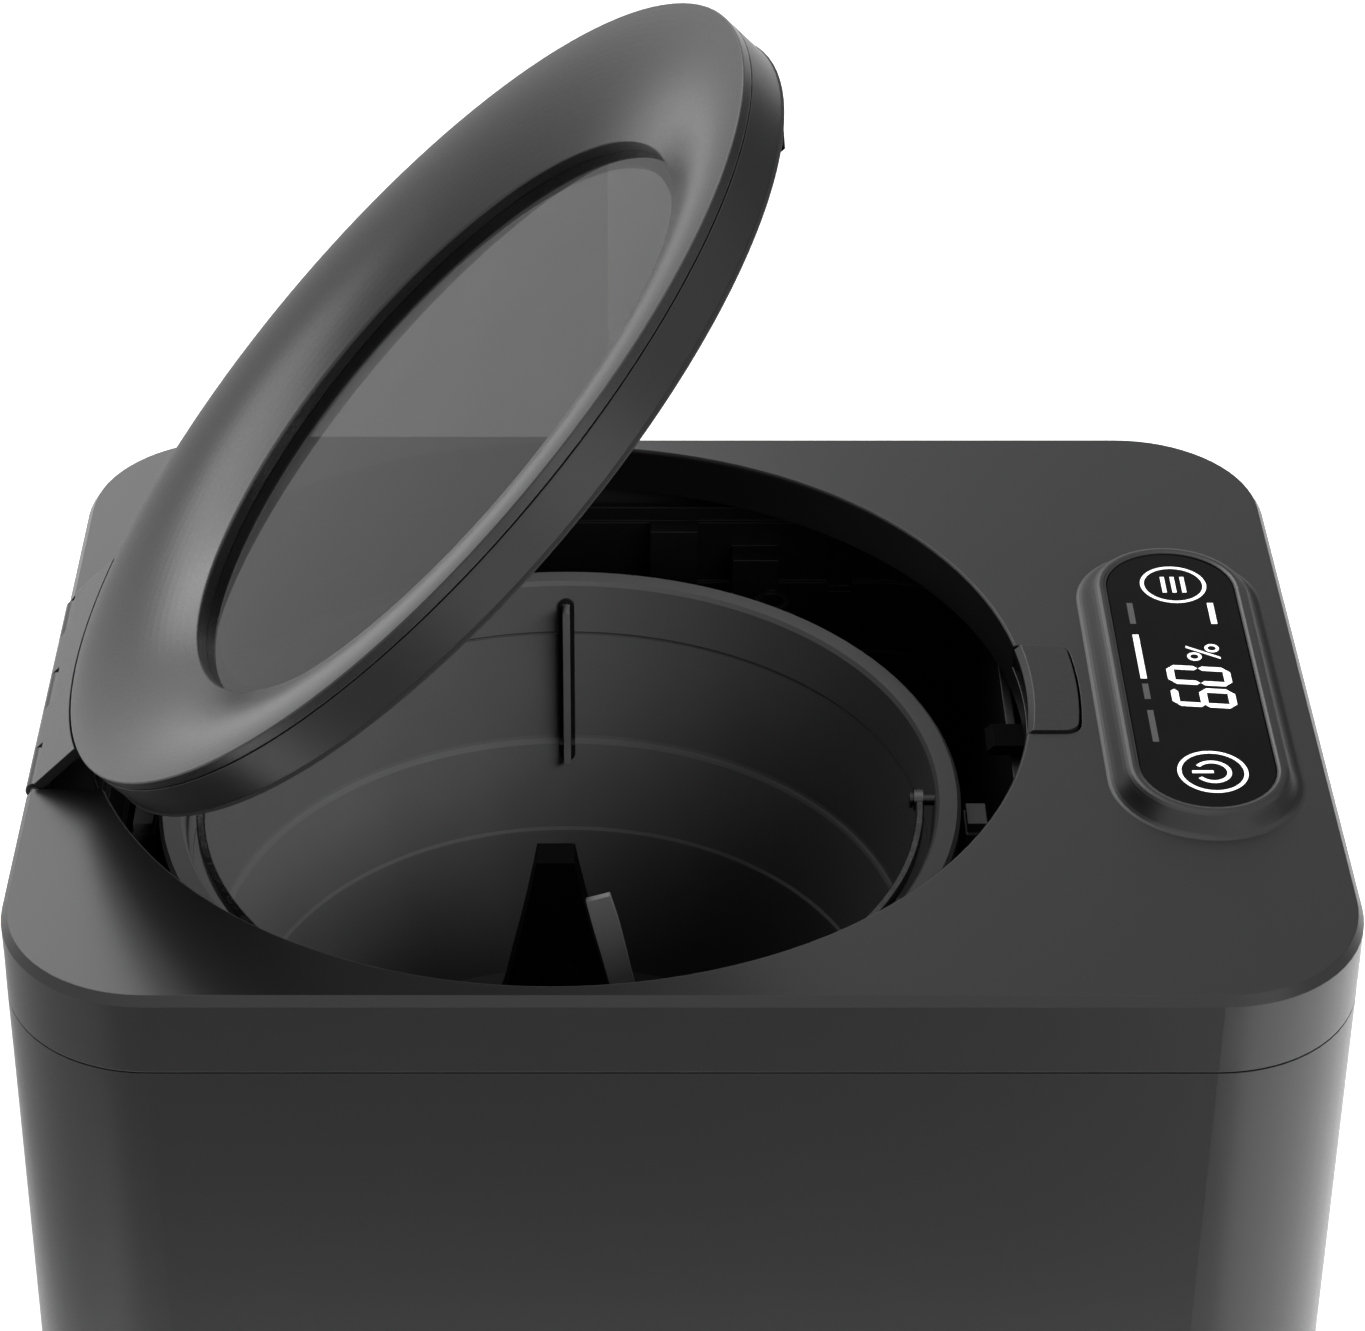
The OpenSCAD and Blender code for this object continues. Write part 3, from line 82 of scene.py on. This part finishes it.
class Nodes:
    """A short way to write a material's node tree."""

    def __init__(self, name):
        self.mat = bpy.data.materials.new(name)
        self.mat.use_nodes = True
        self.tree = self.mat.node_tree
        self.tree.nodes.clear()
        self.out = self.add("ShaderNodeOutputMaterial")
        self.bsdf = self.add("ShaderNodeBsdfPrincipled")
        self.link(self.bsdf.outputs[0], self.out.inputs["Surface"])
        self.coord = self.add("ShaderNodeTexCoord").outputs["Object"]

    def add(self, kind, **props):
        node = self.tree.nodes.new(kind)
        for key, value in props.items():
            setattr(node, key, value)
        return node

    def link(self, out, into):
        self.tree.links.new(out, into)

    def feed(self, socket, out):
        """Joins an output to one of the surface's sockets."""
        self.link(out, self.bsdf.inputs[socket])

    def set(self, **values):
        """Plain values of the surface's sockets, by their names."""
        for key, value in values.items():
            self.bsdf.inputs[key.replace("_", " ")].default_value = value

    def noise(self, scale, detail=3.0, rough=0.5, stretch=(1, 1, 1)):
        mapping = self.add("ShaderNodeMapping")
        mapping.inputs["Scale"].default_value = stretch
        self.link(self.coord, mapping.inputs["Vector"])
        texture = self.add("ShaderNodeTexNoise")
        texture.inputs["Scale"].default_value = scale
        texture.inputs["Detail"].default_value = detail
        texture.inputs["Roughness"].default_value = rough
        self.link(mapping.outputs[0], texture.inputs["Vector"])
        return texture.outputs["Fac"]

    def ramp(self, fac, low, high, start=0.3, end=0.7):
        """A colour that goes from low to high; each is a grey or three shares."""
        node = self.add("ShaderNodeValToRGB")
        for stop, position, colour in zip(node.color_ramp.elements, (start, end), (low, high)):
            stop.position = position
            stop.color = (*shares(colour), 1)
        self.link(fac, node.inputs[0])
        return node.outputs["Color"]

    def span(self, fac, low, high, start=0.3, end=0.7):
        """A number that goes from low to high."""
        node = self.add("ShaderNodeMapRange")
        node.inputs["From Min"].default_value = start
        node.inputs["From Max"].default_value = end
        node.inputs["To Min"].default_value = low
        node.inputs["To Max"].default_value = high
        self.link(fac, node.inputs["Value"])
        return node.outputs[0]

    def soft_edges(self, radius):
        """A normal that turns round the sharp edges, as a moulded edge does."""
        node = self.add("ShaderNodeBevel", samples=6)
        node.inputs["Radius"].default_value = radius
        return node.outputs[0]

    def bump(self, height, strength, distance, normal=None):
        node = self.add("ShaderNodeBump")
        node.inputs["Strength"].default_value = strength
        node.inputs["Distance"].default_value = distance
        self.link(height, node.inputs["Height"])
        if normal is not None:
            self.link(normal, node.inputs["Normal"])
        return node.outputs[0]

    def math(self, operation, a, b=None):
        """One sum or comparison; a and b are sockets or numbers."""
        node = self.add("ShaderNodeMath", operation=operation)
        for value, socket in ((a, node.inputs[0]), (b, node.inputs[1])):
            if isinstance(value, (int, float)):
                socket.default_value = value
            elif value is not None:
                self.link(value, socket)
        return node.outputs[0]

    def away(self, value, middle):
        """How far a coordinate is from a middle, on either side."""
        return self.math("ABSOLUTE", self.math("SUBTRACT", value, middle))

    def axes(self):
        """The place on the object, as X, Y and Z."""
        node = self.add("ShaderNodeSeparateXYZ")
        self.link(self.coord, node.inputs[0])
        return node.outputs

    def mix(self, mask, where_0, where_1):
        """A colour by a mask; each of the two is a socket or a grey."""
        node = self.add("ShaderNodeMix", data_type="RGBA")
        self.link(mask, node.inputs["Factor"])
        for value, socket in ((where_0, node.inputs[6]), (where_1, node.inputs[7])):
            if isinstance(value, (int, float)):
                socket.default_value = (*shares(value), 1)
            else:
                self.link(value, socket)
        return node.outputs[2]


def moulded_nodes(name, colour, rough, grain=0.25, size=2600, vary=0.08, spec=0.5,
                  metallic=0.0, edge=0.0003):
    """Moulded or painted surface with a fine even grain. Returns the tree and its colour."""
    n = Nodes(name)
    low = tuple(share * (1 - vary) for share in colour)
    high = tuple(share * (1 + vary) for share in colour)
    painted = n.ramp(n.noise(18, detail=4, rough=0.6), low, high)
    fine = n.noise(size, detail=2, rough=0.6)
    n.feed("Roughness", n.span(fine, rough - 0.04, rough + 0.04))
    n.feed("Normal", n.bump(fine, grain, 0.00006, n.soft_edges(edge)))
    n.set(Specular_IOR_Level=spec, Metallic=metallic)
    return n, painted


def moulded(name, colour, rough, **options):
    n, painted = moulded_nodes(name, colour, rough, **options)
    n.feed("Base Color", painted)
    return n.mat


def deck_satin_with_painted_shade():
    """The satin of the cover, with painted shade: the inner wall of the round opening is
    darkened to near black.
    """
    n, painted = moulded_nodes("deck_satin", (0.0065, 0.0065, 0.0067), 0.34,
                               grain=0.05, size=3200, vary=0.04, spec=0.50)
    off = n.add("ShaderNodeVectorMath", operation="SUBTRACT")
    off.inputs[1].default_value = (0, OPEN_Y, 0)
    n.link(n.coord, off.inputs[0])
    flat = n.add("ShaderNodeVectorMath", operation="MULTIPLY")
    flat.inputs[1].default_value = (1, 1, 0)
    n.link(off.outputs[0], flat.inputs[0])
    radius = n.add("ShaderNodeVectorMath", operation="LENGTH")
    n.link(flat.outputs[0], radius.inputs[0])
    inside = n.math("LESS_THAN", radius.outputs["Value"], WALL_R)
    below = n.math("LESS_THAN", n.axes()["Z"], WALL_TOP)
    # Painted shade: within the opening and below the deck the colour drops to near black.
    n.feed("Base Color", n.mix(n.math("MULTIPLY", inside, below), painted, 0.0012))
    return n.mat


def brushed(name, colour, rough, stretch=(1, 1, 30), scale=400):
    """Metal with fine lines drawn out along one direction."""
    n = Nodes(name)
    lines = n.noise(scale, rough=0.6, stretch=stretch)
    n.feed("Base Color", n.ramp(lines, tuple(share * 0.88 for share in colour), colour))
    n.feed("Roughness", n.span(lines, rough - 0.06, rough + 0.08))
    n.feed("Normal", n.bump(lines, 0.15, 0.00004))
    n.set(Metallic=1.0)
    return n.mat


def bucket_coating():
    """Dark coated metal, darker in the groove of the fill line."""
    n = Nodes("bucket_coating")
    cloud = n.ramp(n.noise(30, detail=4, rough=0.6),
                   (0.068, 0.068, 0.0684), (0.076, 0.076, 0.0765))
    groove = n.math("LESS_THAN", n.away(n.axes()["Z"], FILL_LINE_Z), FILL_LINE_HALF)
    n.feed("Base Color", n.mix(groove, cloud, 0.03))
    fine = n.noise(1500, rough=0.7)
    n.feed("Roughness", n.span(fine, 0.40, 0.50))
    n.feed("Normal", n.bump(fine, 0.25, 0.00008))
    n.set(Specular_IOR_Level=0.25)
    return n.mat


def fin_with_painted_shade():
    """A grey rib on a black pad: the pad is what stands beside and beyond the rib. The pad's
    black is partly its own dark colour and partly painted shade beside the rib.
    """
    n = Nodes("fin_with_painted_shade")
    at = n.axes()
    beside = n.math("GREATER_THAN", n.away(at["Y"], OPEN_Y), RIB_HALF)
    beyond = n.math("GREATER_THAN", n.away(at["Z"], (RIB_TOP + RIB_BOTTOM) / 2),
                    (RIB_TOP - RIB_BOTTOM) / 2)
    cloud = n.noise(60, detail=4, rough=0.6)
    # Painted shade, in part: the pad round the rib is made nearly black.
    n.feed("Base Color", n.mix(n.math("MAXIMUM", beside, beyond),
                               n.ramp(cloud, 0.07, 0.08), n.ramp(cloud, 0.003, 0.004)))
    n.feed("Roughness", n.span(cloud, 0.35, 0.42))
    fine = n.noise(1500, rough=0.7)
    n.feed("Normal", n.bump(fine, 0.2, 0.00006, n.soft_edges(0.0003)))
    n.set(Specular_IOR_Level=0.3)
    return n.mat


def panel_glass():
    """Black glass with faint smears."""
    n = Nodes("panel_glass")
    smear = n.noise(45, detail=5, rough=0.65)
    n.feed("Base Color", n.ramp(smear, 0.003, 0.0042))
    n.feed("Roughness", n.span(smear, 0.10, 0.16))
    n.set(Specular_IOR_Level=0.07)
    return n.mat


def smoked_glass():
    """Dark tinted glass; the tint varies a little."""
    n = Nodes("smoked_glass")
    n.feed("Base Color", n.ramp(n.noise(40, detail=4, rough=0.6), 0.044, 0.05))
    n.set(Roughness=0.0, IOR=1.24, Transmission_Weight=1.0)
    return n.mat


def lit(name, level, strength):
    """A sign lit from behind."""
    n = Nodes(name)
    glow = n.noise(300, detail=2)
    for socket in ("Base Color", "Emission Color"):
        n.feed(socket, n.ramp(glow, level * 0.93, level, 0.2, 0.8))
    n.set(Emission_Strength=strength, Roughness=0.4)
    return n.mat


COVER = moulded("cover_satin", (0.0065, 0.0065, 0.0067), 0.30,
                grain=0.05, size=3200, vary=0.04, spec=0.50)
DECK_WITH_PAINTED_SHADE = deck_satin_with_painted_shade()
SHELL = moulded("shell_matt", (0.0055, 0.0055, 0.0057), 0.34,
                grain=0.06, size=3000, vary=0.04, spec=0.50)
DARK = moulded("inner_dark", (0.0012, 0.0012, 0.0012), 0.42,
               grain=0.12, size=2400, spec=0.25, edge=0.0005)
BRACKET = moulded("bracket_dark", (0.03, 0.03, 0.0305), 0.5, grain=0.2, size=2400, spec=0.4)
HUB = moulded("hub_black", (0.0008, 0.0008, 0.0008), 0.6, grain=0.1, size=2600, spec=0.02)
ARM = moulded("arm_grey", (0.19, 0.19, 0.191), 0.42, grain=0.15, size=2200, spec=0.5)
RUBBER = moulded("rubber_black", (0.012, 0.012, 0.012), 0.7, grain=0.3, size=1800, spec=0.3)
BOARD = moulded("board_green", (0.02, 0.09, 0.045), 0.45, grain=0.3, size=900, vary=0.2)
DIFFUSER = moulded("diffuser_white", (0.7, 0.7, 0.7), 0.5, grain=0.1)
CARBON = moulded("carbon_black", (0.012, 0.012, 0.012), 0.85,
                 grain=0.9, size=700, vary=0.4, spec=0.2)
STEEL = brushed("steel_brushed", (0.56, 0.56, 0.57), 0.32)
WIRE = brushed("wire_dark", (0.07, 0.07, 0.071), 0.24)
PIN = brushed("pin_dark", (0.035, 0.035, 0.0355), 0.3)
CAST = moulded("cast_aluminium", (0.5, 0.5, 0.51), 0.45,
               grain=0.5, size=1500, vary=0.1, metallic=1.0)
BRASS = brushed("brass_turned", (0.60, 0.44, 0.20), 0.3)
COPPER = brushed("copper_winding", (0.48, 0.22, 0.10), 0.35, stretch=(1, 1, 120), scale=300)
BUCKET = bucket_coating()
FIN_WITH_PAINTED_SHADE = fin_with_painted_shade()
PANEL_GLASS = panel_glass()
GLASS = smoked_glass()
LIT = lit("icon_lit", 0.86, 0.85)
DIM = lit("icon_dim", 0.05, 0.15)

by_slot = {
    "cover": COVER, "shell": SHELL, "dark": DARK, "black_gloss": PANEL_GLASS,
    "smoked_glass": GLASS, "rubber": RUBBER, "coated_metal": BUCKET, "steel": STEEL,
    "arm": ARM, "brass": BRASS, "aluminium": CAST, "board": BOARD, "copper": COPPER,
    "white_plastic": DIFFUSER, "carbon": CARBON,
}
own = {
    "top_cover": DECK_WITH_PAINTED_SHADE, "stirrer_hub": HUB, "bucket_locators": BRACKET,
    "bail_handle": WIRE, "bail_pivots": PIN, "latch_striker": HUB, "latch_slide": HUB,
    "breaker_fin": FIN_WITH_PAINTED_SHADE,
}
slots = {s["node"]: s["material_slot"] for s in frame["record"]["subparts"]}
for name, obj in nodes.items():
    obj.data.materials.clear()
    obj.data.materials.append(own.get(name, by_slot[slots[name]]))

# Panel print, with outlines in millimetres as seen from above


def mesh_object(name, build):
    """An object in the scene from a mesh under construction."""
    mesh = bpy.data.meshes.new(name)
    build.to_mesh(mesh)
    build.free()
    obj = bpy.data.objects.new(name, mesh)
    scene.collection.objects.link(obj)
    return obj


def flat_piece(name, loops, z0, z1, mat, body, slot):
    """A thin plate from closed outlines, each a list of (x, y) in millimetres."""
    build = bmesh.new()
    for loop in loops:
        low = [build.verts.new((x * MM, y * MM, z0)) for x, y in loop]
        high = [build.verts.new((x * MM, y * MM, z1)) for x, y in loop]
        build.faces.new(high)
        build.faces.new(list(reversed(low)))
        for i in range(len(loop)):
            j = (i + 1) % len(loop)
            build.faces.new((low[i], low[j], high[j], high[i]))
    bmesh.ops.recalc_face_normals(build, faces=build.faces)
    obj = mesh_object(name, build)
    obj.data.materials.append(mat)
    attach(obj, body)


def arc_band(cx, cy, r, w, start=0, end=360, steps=64):
    """Quads along an arc of width w, so that a ring has its hole."""
    inner, outer = r - w / 2, r + w / 2
    turns = [math.radians(start + (end - start) * i / steps) for i in range(steps + 1)]
    return [
        [(cx + reach * math.cos(turn), cy + reach * math.sin(turn))
         for reach, turn in ((inner, a), (outer, a), (outer, b), (inner, b))]
        for a, b in zip(turns, turns[1:])
    ]


def bar(x0, y0, x1, y1):
    return [(x0, y0), (x1, y0), (x1, y1), (x0, y1)]


def segments(x, y, which, w=8.6, h=16.5, t=1.9, slant=0.1):
    """The named segments of a seven-segment figure whose lower left corner is (x, y)."""
    gap = 0.07 * t

    def hor(yc):
        return [(x + gap + t / 2, yc), (x + gap + t, yc + t / 2),
                (x + w - gap - t, yc + t / 2), (x + w - gap - t / 2, yc),
                (x + w - gap - t, yc - t / 2), (x + gap + t, yc - t / 2)]

    def ver(xc, y0, y1):
        return [(xc, y0 + gap), (xc + t / 2, y0 + gap + t / 2),
                (xc + t / 2, y1 - gap - t / 2), (xc, y1 - gap),
                (xc - t / 2, y1 - gap - t / 2), (xc - t / 2, y0 + gap + t / 2)]

    left, right = x + t / 2, x + w - t / 2
    low, mid, high = y + t / 2, y + h / 2, y + h - t / 2
    parts = {"a": hor(high), "g": hor(mid), "d": hor(low),
             "f": ver(left, mid, high), "b": ver(right, mid, high),
             "e": ver(left, low, mid), "c": ver(right, low, mid)}
    return [[(px + slant * (py - y), py) for px, py in parts[k]] for k in which]


def power_sign(x, y):
    """An open ring with a stroke in its gap."""
    return arc_band(x, y, 4.2, 1.1, 125, 415, 40) + [bar(x - 0.55, y - 0.2, x + 0.55, y + 5.2)]


def mode_sign(x, y):
    """Three strokes, one behind the other."""
    return [bar(x - 3.8, y + step, x + 3.8, y + step + 1.1) for step in (2.1, -0.55, -3.2)]


def percent_sign(x, y):
    """Two small rings with a slanted stroke between them."""
    rings = [arc_band(x - side * 1.95, y + side * 2.5, 1.5, 0.8, steps=28) for side in (1, -1)]
    stroke = [(x - 3.05, y - 4.3), (x - 2.15, y - 4.3), (x + 3.05, y + 4.3), (x + 2.15, y + 4.3)]
    return rings[0] + rings[1] + [stroke]


def mark(x0, x1, y):
    """A plain indicator mark."""
    return bar(x0, y, x1, y + 1.6)


PAD_X, PAD_Y = 43, -134  # middles of the two touch fields
FIGURES_Y = -144  # foot of the figures
MARKS_Y = -122  # the row of marks behind the figures
lit_loops = []
for side in (1, -1):
    lit_loops += arc_band(side * PAD_X, PAD_Y, 8.4, 1.0)
lit_loops += power_sign(-PAD_X, PAD_Y) + mode_sign(PAD_X, PAD_Y)
lit_loops += segments(-15.5, FIGURES_Y, "afgedc")
lit_loops += segments(-5.5, FIGURES_Y, "abcdef")
lit_loops += percent_sign(10.45, -138.1)
lit_loops += [mark(-1.6, 18.8, MARKS_Y), mark(24, 34, FIGURES_Y + 0.4)]
dim_loops = [mark(x0, x1, MARKS_Y) for x0, x1 in ((24, 34), (-11, -4), (-30, -16))]
PRINT = (GLASS_Z + 0.00001, GLASS_Z + 0.00004)
flat_piece("panel_symbols", lit_loops, *PRINT, LIT, "appliance", "white_plastic")
flat_piece("panel_marks_dim", dim_loops, *PRINT, DIM, "appliance", "dark")

# Floor, background and light


def sees_backdrop(tree):
    """1 for a ray that shows the pale background: the eye's own, mirrored or through glass."""
    path = tree.nodes.new("ShaderNodeLightPath")
    total = path.outputs["Is Camera Ray"]
    for kind in ("Is Glossy Ray", "Is Transmission Ray"):
        step = tree.nodes.new("ShaderNodeMath")
        step.operation = "ADD"
        step.use_clamp = True
        tree.links.new(total, step.inputs[0])
        tree.links.new(path.outputs[kind], step.inputs[1])
        total = step.outputs[0]
    return total


def stage_material(name):
    """An empty tree and its output, for what isn't part of the object."""
    mat = bpy.data.materials.new(name)
    mat.use_nodes = True
    mat.node_tree.nodes.clear()
    return mat, mat.node_tree, mat.node_tree.nodes.new("ShaderNodeOutputMaterial")


def make_floor(size=60, glow_level=0.7):
    """A wide pale floor that also glows, so that it is as white far off as near the lamps."""
    build = bmesh.new()
    bmesh.ops.create_grid(build, x_segments=8, y_segments=8, size=size)
    obj = mesh_object("floor", build)
    mat, tree, out = stage_material("floor_pale")
    link = tree.links.new
    coord = tree.nodes.new("ShaderNodeTexCoord")
    noise = tree.nodes.new("ShaderNodeTexNoise")
    noise.inputs["Scale"].default_value = 3
    link(coord.outputs["Object"], noise.inputs["Vector"])
    ramp = tree.nodes.new("ShaderNodeValToRGB")
    for stop, level in zip(ramp.color_ramp.elements, (0.84, 0.88)):
        stop.color = (*shares(level), 1)
    link(noise.outputs["Fac"], ramp.inputs[0])
    diffuse = tree.nodes.new("ShaderNodeBsdfDiffuse")
    link(ramp.outputs["Color"], diffuse.inputs["Color"])
    strength = tree.nodes.new("ShaderNodeMath")
    strength.operation = "MULTIPLY"
    strength.inputs[1].default_value = glow_level
    link(sees_backdrop(tree), strength.inputs[0])
    glow = tree.nodes.new("ShaderNodeEmission")
    glow.inputs["Color"].default_value = (1, 1, 1, 1)
    link(strength.outputs[0], glow.inputs["Strength"])
    add = tree.nodes.new("ShaderNodeAddShader")
    link(diffuse.outputs[0], add.inputs[0])
    link(glow.outputs[0], add.inputs[1])
    link(add.outputs[0], out.inputs["Surface"])
    obj.data.materials.append(mat)


def make_world(fill=0.18):
    """White where it is seen, dim as a light on the object."""
    world = bpy.data.worlds.new("studio")
    scene.world = world
    world.use_nodes = True
    tree = world.node_tree
    tree.nodes.clear()
    out = tree.nodes.new("ShaderNodeOutputWorld")
    around = tree.nodes.new("ShaderNodeBackground")
    around.inputs["Color"].default_value = (1, 1, 1, 1)
    level = tree.nodes.new("ShaderNodeMapRange")
    level.inputs["To Min"].default_value = fill
    level.inputs["To Max"].default_value = 1.0
    tree.links.new(sees_backdrop(tree), level.inputs["Value"])
    tree.links.new(level.outputs[0], around.inputs["Strength"])
    tree.links.new(around.outputs[0], out.inputs["Surface"])


def aim(obj, at, toward):
    """Puts a lamp or card at its place and turns it toward a point."""
    obj.location = at
    obj.rotation_euler = (Vector(toward) - Vector(at)).to_track_quat("-Z", "Y").to_euler()
    scene.collection.objects.link(obj)


def card(name, at, toward, size, level):
    """A grey card beside the set, which only mirrored rays meet."""
    x, y = size[0] / 2, size[1] / 2
    mesh = bpy.data.meshes.new(name)
    mesh.from_pydata([(-x, -y, 0), (x, -y, 0), (x, y, 0), (-x, y, 0)], [], [(0, 1, 2, 3)])
    obj = bpy.data.objects.new(name, mesh)
    for ray in ("camera", "diffuse", "transmission", "shadow"):
        setattr(obj, "visible_" + ray, False)
    mat, tree, out = stage_material(name)
    emission = tree.nodes.new("ShaderNodeEmission")
    emission.inputs["Strength"].default_value = level
    tree.links.new(emission.outputs[0], out.inputs["Surface"])
    mesh.materials.append(mat)
    aim(obj, at, toward)


def softbox(name, at, toward, size, power, shows):
    """An area lamp; shows says whether the object mirrors it."""
    data = bpy.data.lights.new(name, "AREA")
    data.shape = "RECTANGLE"
    data.size, data.size_y = size
    data.energy = power
    obj = bpy.data.objects.new(name, data)
    obj.visible_camera = False
    obj.visible_glossy = shows
    aim(obj, at, toward)


# Lamps: place, the point they face, size, watts, and whether the object mirrors them
LAMPS = {
    "overhead": ((0.1, 0.2, 2.3), (0, 0, 0.3), (1.6, 1.6), 6, True),
    "far_left": ((1.90, 0.60, 1.687), (0, 0, DECK), (1.1, 1.2), 10.3, True),
    "left_high": ((1.29, 1.43, 2.14), (0, 0, 0.4), (1.7, 1.3), 24, True),
    "front_right": ((-1.15, -1.55, 1.50), (0.05, 0.06, 0.25), (0.7, 0.7), 22, False),
    "eye_side": ((-1.45, -0.95, 1.45), (0.05, 0.03, 0.25), (0.7, 0.7), 22, False),
    "front_low": ((-1.7, -1.5, 0.75), (0, 0, 0.4), (1.2, 0.8), 3, True),
    "right_floor": ((-0.4, -1.4, 1.1), (-0.2, -0.45, 0), (0.6, 0.6), 11, False),
}
# Grey cards: place, the point they face, size, brightness
CARDS = {
    "right_flag": ((1.2, -2.0, 0.85), (0, 0, 0.45), (2.8, 1.5), 0.16),
    "back_flag": ((1.97, -0.75, 1.90), (0, 0, DECK), (2.3, 1.7), 0.5),
    "side_flag": ((-0.8, -2.1, 0.95), (0, 0, 0.45), (1.6, 1.3), 0.45),
    "floor_card": ((-0.80, 0.16, 0.004), (-0.80, 0.16, -1.0), (0.9, 0.88), 0.30),
    "left_card": ((0.1, 0.72, 0.004), (0.1, 0.72, -1.0), (1.2, 0.7), 0.7),
}
make_floor()
make_world()
for name, values in LAMPS.items():
    softbox(name, *values)
for name, values in CARDS.items():
    card(name, *values)

scene.view_settings.view_transform = "Standard"
